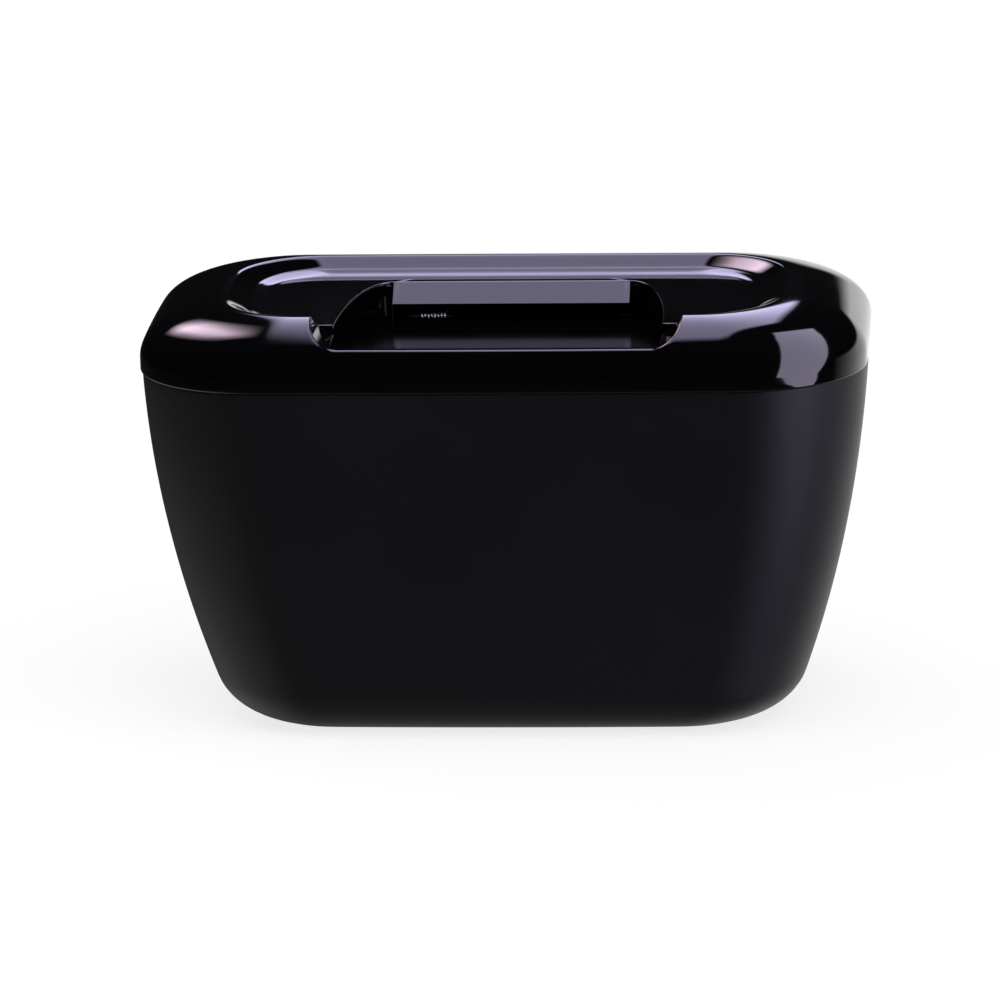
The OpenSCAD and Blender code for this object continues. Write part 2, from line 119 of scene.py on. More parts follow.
class Recipe:
    """The nodes of one material or world."""

    def __init__(self, tree: Any) -> None:
        """Empties a node tree.

        Args:
            tree: The material's or the world's node tree.
        """
        self.tree = tree
        tree.nodes.clear()

    def node(self, kind: str, settings: dict[str, Any], inputs: dict[Any, Any], out: Any = 0) -> Signal:
        """Adds one node.

        Args:
            kind: The node's type name.
            settings: Its own settings, set first.
            inputs: The values or signals of its sockets, by name or number.
            out: The name or number of the output that is wanted.

        Returns:
            That output, wrapped.
        """
        made = self.tree.nodes.new(kind)
        for name, value in settings.items():
            setattr(made, name, value)
        for name, value in inputs.items():
            if isinstance(value, Signal):
                self.tree.links.new(value.socket, made.inputs[name])
            else:
                made.inputs[name].default_value = value
        return Signal(self, made.outputs[out])

    def outs(self, kind: str, inputs: dict[Any, Any], names: Sequence[str]) -> list[Signal]:
        """Adds one node and wraps several of its outputs."""
        first = self.node(kind, {}, inputs, names[0])
        return [Signal(self, first.socket.node.outputs[name]) for name in names]

    def show(self, kind: str, shader: Signal) -> None:
        """Links a shader to the tree's output node, of a kind."""
        self.tree.links.new(shader.socket, self.tree.nodes.new(kind).inputs["Surface"])

    def place(self, scale: Point = (1.0, 1.0, 1.0)) -> Signal:
        """The piece's own coordinates, stretched by a scale."""
        own = self.node("ShaderNodeTexCoord", {}, {}, "Object")
        return self.node("ShaderNodeMapping", {}, {"Vector": own, "Scale": scale})

    def noise(self, scale: float, detail: float, where: Signal) -> Signal:
        """A noise of so many bumps a metre."""
        return self.node("ShaderNodeTexNoise", {}, {"Vector": where, "Scale": scale, "Detail": detail}, "Fac")

    def spread(self, value: Signal, low: float, high: float, start: float, end: float) -> Signal:
        """Maps a value from one range to another."""
        return self.node("ShaderNodeMapRange", {}, {0: value, 1: low, 2: high, 3: start, 4: end})

    def bump(self, height: Signal, depth: float) -> Signal:
        """A bump of a depth in metres."""
        return self.node("ShaderNodeBump", {}, {"Height": height, "Distance": depth, "Strength": 1.0})

    def tone(self, share: Signal, colour: Point, low: float, high: float) -> Signal:
        """A colour that goes between two shades of itself."""
        dark, pale = ((*[c * shade for c in colour], 1.0) for shade in (low, high))
        return self.node("ShaderNodeMix", {"data_type": "RGBA"}, {0: share, 6: dark, 7: pale}, 2)

    def skin(self, tone: Signal, gloss: Signal, normal: Signal, inputs: dict[str, Any]) -> Signal:
        """A surface of a colour, roughness and normal, with other inputs of its own."""
        return self.node("ShaderNodeBsdfPrincipled", {}, {
            "Base Color": tone, "Roughness": gloss, "Normal": normal, **inputs}, "BSDF")

    def glow(self, colour: Point, strength: Any) -> Signal:
        """Light of a colour from the world."""
        return self.node("ShaderNodeBackground", {}, {"Color": (*colour, 1.0), "Strength": strength},
                         "Background")


@dataclass(frozen=True)
class Finish:
    """A finish, made into a material when it is first used."""

    name: str

    def dress(self, recipe: Recipe) -> Signal:
        """Builds the finish's shader in its recipe. Each finish has its own."""
        raise NotImplementedError

    def material(self) -> bpy.types.Material:
        """The finish as a material.

        Returns:
            The material, which every piece with this finish shares.
        """
        known = bpy.data.materials.get(self.name)
        if known is not None:
            return known
        made = bpy.data.materials.new(self.name)
        made.use_nodes = True
        recipe = Recipe(made.node_tree)
        shader = self.dress(recipe)
        recipe.show("ShaderNodeOutputMaterial", shader)
        return made


@dataclass(frozen=True)
class MattePlastic(Finish):
    """Moulded plastic with the fine grain of a spark-eroded mould."""

    colour: Point = (0.0034, 0.0033, 0.0038)
    roughness: float = 0.5
    grain_scale: float = 2600.0
    grain_depth: float = 0.000018
    ior: float = 1.38

    def dress(self, recipe: Recipe) -> Signal:
        """Grain in the bump, and slow changes of gloss and tone over the surface.

        Args:
            recipe: The material's nodes.

        Returns:
            The shader.
        """
        where = recipe.place()
        grain = recipe.noise(self.grain_scale, 2.0, where)
        cloud = recipe.noise(22.0, 3.0, where)
        tone = recipe.tone(cloud, self.colour, 0.85, 1.2)
        gloss = recipe.spread(cloud + grain * 0.3, 0.35, 0.95, self.roughness - 0.05, self.roughness + 0.06)
        return recipe.skin(tone, gloss, recipe.bump(grain, self.grain_depth), {"IOR": self.ior})


@dataclass(frozen=True)
class GlossPlastic(Finish):
    """Polished plastic, with the faint waviness and haze of a real moulding."""

    colour: Point = (0.0022, 0.0022, 0.0030)
    roughness: float = 0.035
    wave_depth: float = 0.0000022
    ior: float = 1.5

    def dress(self, recipe: Recipe) -> Signal:
        """A slow wave in the bump, and a haze that comes and goes.

        Args:
            recipe: The material's nodes.

        Returns:
            The shader.
        """
        where = recipe.place()
        wave = recipe.noise(75.0, 1.0, where)
        haze = recipe.noise(38.0, 4.0, where)
        tone = recipe.tone(haze, self.colour, 1.0, 1.35)
        gloss = recipe.spread(haze, 0.3, 0.7, self.roughness, self.roughness + 0.035)
        return recipe.skin(tone, gloss, recipe.bump(wave, self.wave_depth), {"IOR": self.ior})


@dataclass(frozen=True)
class BrightSteel(Finish):
    """Bright drawn steel, with fine lines along it."""

    colour: Point = (0.62, 0.62, 0.64)
    roughness: float = 0.2
    line_depth: float = 0.000004

    def dress(self, recipe: Recipe) -> Signal:
        """Lines along the wire in the roughness and the bump.

        Args:
            recipe: The material's nodes.

        Returns:
            The shader.
        """
        lines = recipe.noise(1500.0, 3.0, recipe.place((0.04, 1.0, 1.0)))
        tone = recipe.tone(lines, self.colour, 0.8, 1.0)
        gloss = recipe.spread(lines, 0.3, 0.7, self.roughness, self.roughness + 0.15)
        return recipe.skin(tone, gloss, recipe.bump(lines, self.line_depth), {"Metallic": 1.0})


MATTE = MattePlastic("matte_black_moulding")
GLOSS = GlossPlastic("gloss_black_moulding")
# The flap's finish: a darker colour than the cover's and a low IOR, so that it mirrors little. This is painted
# shade for the shadowed inside of the mouth.
SATIN_PAINTED_SHADE = GlossPlastic("satin_black_painted_shade", (0.0012, 0.0012, 0.0014), 0.1, ior=1.1)
STEEL = BrightSteel("drawn_steel")


# Modelling by hand


def clear_selection() -> None:
    """Leaves edit mode and deselects every object."""
    if bpy.context.mode != "OBJECT":
        bpy.ops.object.mode_set(mode="OBJECT")
    bpy.ops.object.select_all(action="DESELECT")


def start(name: str, add: Callable[..., Any], **settings: Any) -> bpy.types.Object:
    """Adds a primitive with nothing else selected.

    Args:
        name: The new object's name.
        add: The operator that adds it.
        settings: The operator's settings.

    Returns:
        The new object.
    """
    clear_selection()
    add(**settings)
    made = bpy.context.object
    made.name = name
    return made


def choose(obj: bpy.types.Object) -> None:
    """Makes one object the only selected one, and the active one."""
    clear_selection()
    obj.select_set(True)
    bpy.context.view_layer.objects.active = obj


@contextmanager
def editing(obj: bpy.types.Object, mode: str = "VERT") -> Iterator[None]:
    """Edit mode on one object, with nothing of its mesh selected at first."""
    choose(obj)
    bpy.ops.object.mode_set(mode="EDIT")
    bpy.ops.mesh.select_mode(type=mode)
    bpy.ops.mesh.select_all(action="DESELECT")
    yield
    bpy.ops.object.mode_set(mode="OBJECT")


def pick_edges(obj: bpy.types.Object, test: Callable[[Vector, Vector], bool]) -> None:
    """Selects, in edit mode, the edges whose two ends pass a test, given in millimetres."""
    mesh = bmesh.from_edit_mesh(obj.data)
    for edge in mesh.edges:
        a, b = (v.co / MM for v in edge.verts)
        edge.select_set(bool(test(a, b)))
    bmesh.update_edit_mesh(obj.data)


def pick_seams(obj: bpy.types.Object) -> None:
    """Selects, in edit mode, the edges that are marked as seams."""
    mesh = bmesh.from_edit_mesh(obj.data)
    for edge in mesh.edges:
        edge.select_set(edge.seam)
    bmesh.update_edit_mesh(obj.data)


def mend(merge: float = 0.0) -> None:
    """In edit mode, merges corners this close, in millimetres, and turns all faces outwards."""
    bpy.ops.mesh.select_all(action="SELECT")
    if merge:
        bpy.ops.mesh.remove_doubles(threshold=merge * MM)
    bpy.ops.mesh.normals_make_consistent(inside=False)


def round_picked(width: float) -> None:
    """Rounds, in edit mode, the selected edges by a width in millimetres."""
    bpy.ops.mesh.bevel(offset=width * MM, segments=3, profile=0.5, affect="EDGES", clamp_overlap=False)


def put(name: str, data: Any) -> bpy.types.Object:
    """A new object that shows some data, in the scene."""
    made = bpy.data.objects.new(name, data)
    bpy.context.scene.collection.objects.link(made)
    return made


def modify(obj: bpy.types.Object, kind: str, **settings: Any) -> None:
    """Adds a modifier to a piece, sets it and applies it."""
    choose(obj)
    bpy.ops.object.modifier_add(type=kind)
    modifier = obj.modifiers[-1]
    for name, value in settings.items():
        setattr(modifier, name, value)
    bpy.ops.object.modifier_apply(modifier=modifier.name)


def settle(obj: bpy.types.Object) -> None:
    """Puts a piece's place and turn into its mesh."""
    choose(obj)
    bpy.ops.object.transform_apply(location=True, rotation=True, scale=True)


def join(name: str, parts: Sequence[bpy.types.Object]) -> bpy.types.Object:
    """Joins several meshes into one piece.

    Args:
        name: The piece's name.
        parts: The meshes, whose places are in their meshes already.

    Returns:
        The first of them, which now holds all.
    """
    clear_selection()
    for part in parts:
        part.select_set(True)
    bpy.context.view_layer.objects.active = parts[0]
    bpy.ops.object.join()
    parts[0].name = name
    return parts[0]


def smooth(obj: bpy.types.Object, angle: float = 35.0, weighted: bool = True) -> None:
    """Smooth shading up to an angle, with flat faces kept flat beside their rounded edges."""
    choose(obj)
    bpy.ops.object.shade_smooth_by_angle(angle=math.radians(angle), keep_sharp_edges=False)
    if weighted:
        modify(obj, "WEIGHTED_NORMAL", mode="FACE_AREA", weight=50, keep_sharp=True)


def soften(obj: bpy.types.Object, width: float, segments: int = 3, angle: float = 40.0) -> None:
    """Rounds a piece's sharp edges by a width in millimetres."""
    modify(obj, "BEVEL", width=width * MM, segments=segments, limit_method="ANGLE",
           angle_limit=math.radians(angle), use_clamp_overlap=True)


def block(name: str, low: Point, high: Point, round_edges: float) -> bpy.types.Object:
    """A rounded block between two corners.

    Args:
        name: The new object's name.
        low: Its lowest corner, in millimetres.
        high: Its highest corner, in millimetres.
        round_edges: The radius of its edges.

    Returns:
        The block, with its place in its mesh.
    """
    middle = [(a + b) / 2 * MM for a, b in zip(low, high)]
    made = start(name, bpy.ops.mesh.primitive_cube_add, size=1.0, location=middle,
                 scale=[(b - a) * MM for a, b in zip(low, high)])
    settle(made)
    soften(made, round_edges)
    return made


def rod(name: str, ends: Spot, axis: Spot, radius: float, **settings: Any) -> bpy.types.Object:
    """A round rod along X.

    Args:
        name: The new object's name.
        ends: Where it starts and ends, in millimetres.
        axis: How far back and how high its middle line lies.
        radius: Its radius.
        settings: The cylinder's other settings.

    Returns:
        The rod, with its place in its mesh.
    """
    low, high = ends
    made = start(name, bpy.ops.mesh.primitive_cylinder_add, radius=radius * MM, depth=(high - low) * MM,
                 location=((low + high) / 2 * MM, axis[0] * MM, axis[1] * MM),
                 rotation=(0, math.pi / 2, 0), **settings)
    settle(made)
    return made


def lay(obj: bpy.types.Object, points: Sequence[Point]) -> None:
    """Moves the corners of a circle, in order, to points in millimetres."""
    for vertex, point in zip(obj.data.vertices, points):
        vertex.co = Vector(point) * MM
    obj.data.update()


def ring_start(name: str, points: Sequence[Point], fill: str = "NOTHING") -> bpy.types.Object:
    """A circle whose corners lie on a closed outline."""
    made = start(name, bpy.ops.mesh.primitive_circle_add, vertices=len(points), radius=1.0, fill_type=fill)
    lay(made, points)
    return made


def hand_over(obj: bpy.types.Object, body: Body, slot: Slot, finish: Finish, *nodes: str) -> None:
    """Dresses a finished piece and ties it to the frame.

    Args:
        obj: The piece, with its place in its mesh.
        body: The body that it moves with.
        slot: The record's slot for its finish. Not used.
        finish: The finish itself.
        nodes: The CAD nodes that it stands for.
    """
    obj.data.materials.clear()
    obj.data.materials.append(finish.material())
    if nodes:
        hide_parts(*nodes)
    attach(obj, body.value)
    LOG.info("%s: %d faces, %s", obj.name, len(obj.data.polygons), finish.name)


# The level outlines that the tub and the cover share

FRONT_BOW = 1.2
SIDE_BOW = 1.0


@dataclass(frozen=True)
class Outline:
    """A level outline whose front and ends bow out in their middles."""

    half: float
    front: float
    back: float
    front_r: float
    back_r: float

    def right_half(self, fine: int = 60) -> np.ndarray:
        """The right half from the middle of the front to the middle of the back.

        Args:
            fine: Steps in each corner.

        Returns:
            The points, one row each.
        """
        fx, fy = self.half - self.front_r, self.front + self.front_r
        bx, by = self.half - self.back_r, self.back - self.back_r
        front = [(x, self.front) for x in np.linspace(0.0, fx, 160)]
        turns = np.radians(np.linspace(-90.0, 0.0, fine + 1))
        near = [(fx + self.front_r * math.cos(t), fy + self.front_r * math.sin(t)) for t in turns]
        side = [(self.half, y) for y in np.linspace(fy, by, 60)]
        far = [(bx + self.back_r * math.cos(t), by + self.back_r * math.sin(t)) for t in turns + math.pi / 2]
        back = [(x, self.back) for x in np.linspace(bx, 0.0, 160)]
        points = np.array(front + near[1:] + side[1:] + far[1:] + back[1:])
        middle, depth = (self.front + self.back) / 2, (self.back - self.front) / 2
        across = (points[:, 0] / self.half) ** 2
        deep = ((points[:, 1] - middle) / depth) ** 2
        ease = np.clip((middle - points[:, 1]) / (0.3 * depth), 0.0, 1.0)
        points[:, 1] += FRONT_BOW * across * ease
        points[:, 0] = np.maximum(points[:, 0] - SIDE_BOW * deep * np.minimum(1.0, points[:, 0] / 4.0), 0.0)
        return points

    def front_y(self, x: float) -> float:
        """Where the front stands at a distance from the middle."""
        half = self.right_half()
        near = half[half[:, 1] < 0.5 * self.front]
        return float(np.interp(abs(x), near[:, 0], near[:, 1]))

    def around(self, start_x: float, shares: np.ndarray) -> list[Spot]:
        """Points from the front at start_x, right round the back, to the front at -start_x.

        Args:
            start_x: Where the front is left and met again.
            shares: How far along each point lies, from 0 to 1, the same both ways.

        Returns:
            The points.
        """
        half = self.right_half()
        near = half[half[:, 1] < 0.5 * self.front]
        first = np.array([start_x, float(np.interp(start_x, near[:, 0], near[:, 1]))])
        kept = [first] + [p for i, p in enumerate(half) if not (i < len(near) and p[0] <= start_x + 1e-6)]
        right = np.array(kept)
        left = right[::-1][1:] * np.array([-1.0, 1.0])
        whole = np.vstack([right, left])
        steps = np.r_[0.0, np.cumsum(np.linalg.norm(np.diff(whole, axis=0), axis=1))]
        at = shares * steps[-1]
        return list(zip(np.interp(at, steps, whole[:, 0]).tolist(), np.interp(at, steps, whole[:, 1]).tolist()))

    def closed(self, count: int) -> list[Spot]:
        """So many points all the way round, from the middle of the front."""
        return self.around(0.0, np.linspace(0.0, 1.0, count + 1))[:-1]


SEAM_Z = 84.5


@dataclass
class Tub:
    """The matte black tub, its neck, and the clip's socket on its back."""

    half: float = 84.5
    depth: float = 42.0
    side_lean: float = 18.6
    front_lean: float = 6.4
    back_lean: float = 2.4
    base_r: float = 10.0
    wall: float = 2.2
    floor: float = 2.6
    neck_in: float = 1.8
    neck_h: float = 4.0
    rim_in: float = 3.4
    rim_h: float = 6.0
    columns: int = 168
    seam_edge: float = 0.35

    def size_at(self, z: float, inside: float) -> tuple[float, float, float]:
        """Half width, front and back of the tub at a height, a distance inside its outer face."""
        u = 1 - z / SEAM_Z
        share = 0.2 * u + 0.8 * u * u
        return (self.half - self.side_lean * share - inside,
                -(self.depth - self.front_lean * share - inside),
                self.depth - self.back_lean * share - inside)

    def outside(self) -> list[tuple[float, float, float, float]]:
        """Half width, front, back and height of each ring from the seam down to the base."""
        rings = [(*self.size_at(z, 0.0), z) for z in np.linspace(SEAM_Z, self.base_r, 30)]
        for a in np.radians(np.linspace(0, 90, 13))[1:]:
            z = self.base_r * (1 - math.sin(a))
            rings.append((*self.size_at(z, self.base_r * (1 - math.cos(a))), z))
        return rings

    def inside(self) -> list[tuple[float, float, float, float]]:
        """The same from the seam over the neck and down to the floor inside."""
        seam = lambda inset, z: (self.half - inset, -(self.depth - inset), self.depth - inset, z)
        top = SEAM_Z + self.neck_h
        rings = [seam(0.0, SEAM_Z), seam(self.neck_in, SEAM_Z), seam(self.neck_in, top - 1.6),
                 seam(self.neck_in + 0.8, top), seam(self.rim_in, top), seam(self.rim_in, SEAM_Z),
                 (*self.size_at(SEAM_Z - self.rim_h, self.rim_in), SEAM_Z - self.rim_h)]
        low = self.floor + self.base_r - self.wall
        rings += [(*self.size_at(z, self.wall), z) for z in np.linspace(SEAM_Z - 2 * self.rim_h, low, 16)]
        for a in np.radians(np.linspace(0, 90, 9))[1:]:
            r = self.base_r - self.wall
            z = self.floor + r * (1 - math.sin(a))
            rings.append((*self.size_at(z, self.wall + r * (1 - math.cos(a))), z))
        return rings

    def climb(self, tub: bpy.types.Object, rings: Sequence[tuple[float, float, float, float]]) -> None:
        """Extrudes the seam's loop from ring to ring, and closes the last one.

        Args:
            tub: The mesh, which holds the seam's loop.
            rings: The rings to follow, of which the first is the loop itself.
        """
        with editing(tub, "EDGE"):
            half0, front0, back0, z0 = rings[0]
            pick_edges(tub, lambda a, b: abs(a.z - z0) < 1e-3 and abs(b.z - z0) < 1e-3)
            for half, front, back, z in rings[1:]:
                middle0, middle = (front0 + back0) / 2, (front + back) / 2
                bpy.ops.mesh.extrude_edges_move(
                    TRANSFORM_OT_translate={"value": (0, (middle - middle0) * MM, (z - z0) * MM)})
                bpy.ops.transform.resize(
                    value=(half / half0, (back - front) / (back0 - front0), 1.0),
                    center_override=(0, middle * MM, z * MM))
                half0, front0, back0, z0 = half, front, back, z
            bpy.ops.mesh.edge_face_add()

    def socket(self) -> list[bpy.types.Object]:
        """The pad, rails, lips and floor that hold the clip's strap."""
        blocks = [("pad", (-16.8, 39.1, 44.0), (16.8, 43.0, 72.0)),
                  ("step", (-16.8, 39.1, 41.0), (16.8, 48.0, 44.2))]
        for side, s in (("left", -1), ("right", 1)):
            rail, lip = sorted((s * 13.3, s * 16.8)), sorted((s * 10.3, s * 16.8))
            blocks.append((side + "_rail", (rail[0], 42.5, 43.5), (rail[1], 48.0, 72.0)))
            blocks.append((side + "_lip", (lip[0], 46.0, 43.5), (lip[1], 48.0, 72.0)))
        return [block("socket_" + name, low, high, 0.35) for name, low, high in blocks]

    def build(self) -> bpy.types.Object:
        """Builds and dresses the tub.

        Returns:
            The finished piece.
        """
        seam = Outline(self.half, -self.depth, self.depth, 26.0, 22.0)
        tub = ring_start("bin_tub", [(x, y, SEAM_Z) for x, y in seam.closed(self.columns)])
        self.climb(tub, self.outside())
        inner = ring_start("bin_inside", [(x, y, SEAM_Z) for x, y in seam.closed(self.columns)])
        self.climb(inner, self.inside())
        tub = join("bin_tub", [tub, inner])
        with editing(tub):
            mend(0.002)
        soften(tub, self.seam_edge, 3, 50.0)
        tub = join("bin_tub", [tub] + self.socket())
        smooth(tub, 35.0)
        hand_over(tub, Body.BIN, Slot.MATTE, MATTE, "bin")
        return tub


class Sheet:
    """A mesh laid from rows of points, in which points at one place are one corner.

    The cover's skin is made this way, and not from primitives: its dish, mouth and notch run
    into each other in one moulding, whose polished shoulder shows every uneven face.
    """

    def __init__(self) -> None:
        """Starts an empty sheet."""
        self.mesh = bmesh.new()
        self.known: dict[tuple[int, ...], Any] = {}

    def corner(self, point: Point) -> Any:
        """The sheet's corner at a point in millimetres, new or known."""
        key = tuple(round(c * 2000) for c in point)
        if key not in self.known:
            self.known[key] = self.mesh.verts.new(Vector(point) * MM)
        return self.known[key]

    def face(self, points: Sequence[Point]) -> None:
        """Adds one face, unless its corners fall together."""
        corners: list[Any] = []
        for point in points:
            corner = self.corner(point)
            if corner not in corners:
                corners.append(corner)
        if len(corners) > 2 and self.mesh.faces.get(corners) is None:
            self.mesh.faces.new(corners)

    def crease(self, points: Sequence[Point]) -> None:
        """Marks the edges along a line of points as ones to round."""
        for a, b in zip(points, points[1:]):
            edge = self.mesh.edges.get((self.corner(a), self.corner(b)))
            if edge is not None:
                edge.seam = True

    def patch(self, rows: Sequence[Sequence[Point]]) -> None:
        """Adds a face between each four neighbours of a table of points."""
        for low, high in zip(rows, rows[1:]):
            for i in range(len(low) - 1):
                self.face([low[i], low[i + 1], high[i + 1], high[i]])

    def finished(self, name: str) -> bpy.types.Object:
        """Turns the sheet into an object.

        Args:
            name: The object's name.

        Returns:
            The object.
        """
        data = bpy.data.meshes.new(name)
        self.mesh.to_mesh(data)
        self.mesh.free()
        return put(name, data)


@dataclass
class Cover:
    """The gloss black cover: band, shoulder, crest, dish, mouth, notch, and the hinge's holders."""

    half: float = 85.0
    depth: float = 42.5
    front_r: float = 26.5
    back_r: float = 22.5
    band_row: float = 86.0
    band_z: float = 87.5
    crest_z: float = 100.0
    dish_z: float = 97.0
    shoulder_end: float = 19.3
    shoulder_front: float = 12.0
    crest_r: float = 19.0
    slope_end: float = 6.5
    slope_front: float = 2.9
    slope_back: float = 3.9
    rise_h: float = 0.5
    rise_end: float = 3.0
    rise_front: float = 0.7
    rise_back: float = 7.1
    wall: float = 2.0
    mouth_half: float = 28.0
    mouth_swell: float = 10.0
    mouth_back: float = 16.0
    notch_half: float = 36.0
    notch_r: float = 7.0
    notch_z: float = 94.4
    sill_inner: float = -38.04
    sill_h: float = 1.5
    cheek_z: float = 88.6
    panel_low: Spot = (11.2, 92.8)
    pin_y: float = 18.2
    pin_z: float = 88.2
    lug_in: float = 28.4
    lug_out: float = 31.4
    lug_r: float = 3.0
    holder_top: float = 96.2
    stop: tuple[float, float, float] = (20.9, 22.7, 89.2)
    edge_r: float = 0.32
    lip_r: float = 0.45
    cap_h: float = 1.0
    corner_x: float = 40.0
    low_steps: int = 12
    high_steps: int = 12
    slope_steps: int = 10
    rise_steps: int = 6
    near_steps: int = 4
    corner_steps: int = 10
    near_share: float = 0.01
    side_share: float = 0.39
    side_steps: int = 70
    back_steps: int = 40

    def ring(self, end: float, front: float, back: float, front_r: float, back_r: float) -> Outline:
        """An outline so far in from the cover's lower edge."""
        return Outline(self.half - end, -(self.depth - front), self.depth - back, front_r, back_r)

    def band(self) -> list[tuple[Outline, float]]:
        """The upright band's outlines and heights below the shoulder."""
        return [(self.ring(0, 0, 0, self.front_r, self.back_r), z) for z in (SEAM_Z, self.band_row)]

    def shoulder(self, turn: float) -> tuple[Outline, float]:
        """The shoulder's outline and height at a turn of 0 to 90 degrees."""
        s = 1 - math.cos(math.radians(turn))
        z = self.band_z + (self.crest_z - self.band_z) * math.sin(math.radians(turn))
        front_r, back_r = (r * (1 - s) + self.crest_r * s for r in (self.front_r, self.back_r))
        width = self.shoulder_front * s
        return self.ring(self.shoulder_end * s, width, width, front_r, back_r), z

    def ramp(self, s: float) -> float:
        """A straight ramp with a rounded start and end."""
        r = 0.25
        if s < r:
            return s * s / (2 * r) / (1 - r)
        if s > 1 - r:
            return (1 - r - (1 - s) ** 2 / (2 * r)) / (1 - r)
        return (s - r / 2) / (1 - r)

    def slope(self, s: float) -> tuple[Outline, float]:
        """The slope's outline and height, from the crest at 0 to the dish at 1."""
        z = self.crest_z - (self.crest_z - self.dish_z - self.rise_h) * self.ramp(s)
        front, back = self.slope_front * s, self.slope_back * s
        return self.ring(self.shoulder_end + self.slope_end * s, self.shoulder_front + front,
                         self.shoulder_front + back, self.crest_r - front, self.crest_r - back), z

    def rise(self, s: float) -> tuple[Outline, float]:
        """The outline and height of the gentle rise round the dish's floor."""
        front, back = self.slope_front + self.rise_front * s, self.slope_back + self.rise_back * s
        return self.ring(self.shoulder_end + self.slope_end + self.rise_end * s, self.shoulder_front + front,
                         self.shoulder_front + back, self.crest_r - front,
                         self.crest_r - back), self.dish_z + self.rise_h * (1 - s) ** 2

    def notch_x(self, z: float) -> float:
        """Half the notch's width at a height."""
        return self.notch_half + math.sqrt(max(0.0, self.notch_r ** 2 - (self.notch_z + self.notch_r - z) ** 2))

    def notch_top(self, x: float) -> float:
        """The height of the notch's edge at a distance from the middle."""
        over = max(0.0, abs(x) - self.notch_half)
        return self.notch_z + self.notch_r - math.sqrt(max(0.0, self.notch_r ** 2 - over ** 2))

    def mouth_edge(self, front: float) -> list[Spot]:
        """The mouth's right side, from the notch at a front line to the end of its back edge."""
        turns = np.radians(np.linspace(90, 0, self.side_steps + 1))
        swell = self.mouth_back - front
        return [(self.mouth_half + self.mouth_swell * math.sin(a), self.mouth_back - swell * (1 - math.cos(a)))
                for a in turns]

    def lie_x(self, z: float) -> float:
        """Where the shoulder's rows start: on the corner's column, or above it on the notch's edge."""
        return max(self.corner_x, self.notch_x(z)) if z > self.notch_z else self.corner_x

    def rows(self) -> tuple[list[list[Point]], list[list[Point]]]:
        """The rings round the cover outside its crest, and inside it down to the dish's floor."""
        near = np.linspace(0.0, self.near_share, self.near_steps + 1)
        side = np.linspace(self.near_share, self.side_share, self.side_steps + 1)[1:]
        back = np.linspace(self.side_share, 0.5, self.back_steps // 2 + 1)[1:]
        half = np.r_[near, side, back]
        shares = np.r_[half, 1 - half[::-1][1:]]
        turn = math.degrees(math.asin((self.notch_top(self.corner_x) - self.band_z)
                                      / (self.crest_z - self.band_z)))
        turns = np.r_[np.linspace(0, turn, self.low_steps + 1), np.linspace(turn, 90, self.high_steps + 1)[1:]]
        outer = self.band() + [self.shoulder(t) for t in turns]
        dish = [self.slope(i / self.slope_steps) for i in range(1, self.slope_steps + 1)]
        dish += [self.rise(i / self.rise_steps) for i in range(1, self.rise_steps + 1)]
        return tuple([[(x, y, z) for x, y in line.around(self.lie_x(z), shares)] for line, z in group]
                     for group in (outer, dish))

    def front(self, sheet: Sheet, corner: Sequence[Point]) -> list[Point]:
        """Lays the front span below the notch.

        Args:
            sheet: The sheet to lay it on.
            corner: The shoulder's points on the corner's column, from the seam up.

        Returns:
            The span's upper edge on the right half, which is the notch's.
        """
        mouth_x = self.mouth_half + self.mouth_swell
        spread = [float(x) for x in np.linspace(0, self.notch_half, 13)] + [mouth_x - 1, mouth_x, mouth_x + 1,
                                                                              self.corner_x]
        columns = []
        for x in spread:
            full = math.asin((self.notch_top(x) - self.band_z) / (self.crest_z - self.band_z))
            lines = self.band()
            lines += [self.shoulder(math.degrees(full) * k / self.low_steps) for k in range(self.low_steps + 1)]
            columns.append([(x, line.front_y(x), z) for line, z in lines])
        columns[-1] = list(corner)
        for s in (-1, 1):
            side = [[(s * x, y, z) for x, y, z in column] for column in columns]
            for a, b in zip(side, side[1:]):
                for i in range(len(a) - 1):
                    quad = [a[i], b[i], b[i + 1], a[i + 1]]
                    sheet.face(quad if s > 0 else quad[::-1])
        return [column[-1] for column in columns]

    def skin(self) -> bpy.types.Object:
        """Lays the cover's whole outer skin, with its edges still sharp.

        Returns:
            The skin, as an open sheet.
        """
        sheet = Sheet()
        outer, dish = self.rows()
        sheet.patch(outer + dish)
        last = 2 + self.low_steps + 1
        edge = self.front(sheet, [row[0] for row in outer[:last]]) + [row[0] for row in outer[last:]]

        foot = dish[-1]
        ledge_x, ledge_y, _ = foot[0]
        swell = self.mouth_edge(ledge_y)
        mouth_x = swell[0][0]
        ledge = [float(x) for x in np.linspace(ledge_x, mouth_x, self.near_steps + 1)]
        half_edge: list[Spot] = [(x, ledge_y) for x in ledge] + swell[1:]
        across = np.linspace(self.mouth_half, -self.mouth_half, self.back_steps + 1)[1:-1]
        whole_edge = half_edge + [(float(x), self.mouth_back) for x in across]
        whole_edge += [(-x, y) for x, y in reversed(half_edge)]
        top = [(x, y, self.dish_z) for x, y in whole_edge]
        corner = self.near_steps + self.corner_steps
        sheet.patch([foot[corner:-corner], top[corner:-corner]])
        sheet.face(foot[:corner + 1] + top[1:corner + 1][::-1])
        sheet.face(foot[-corner - 1:] + top[-corner - 1:-1][::-1])
        end = len(half_edge)
        for run in (top[:end - 1], top[end:-end], top[-end + 1:]):
            sheet.crease(run)

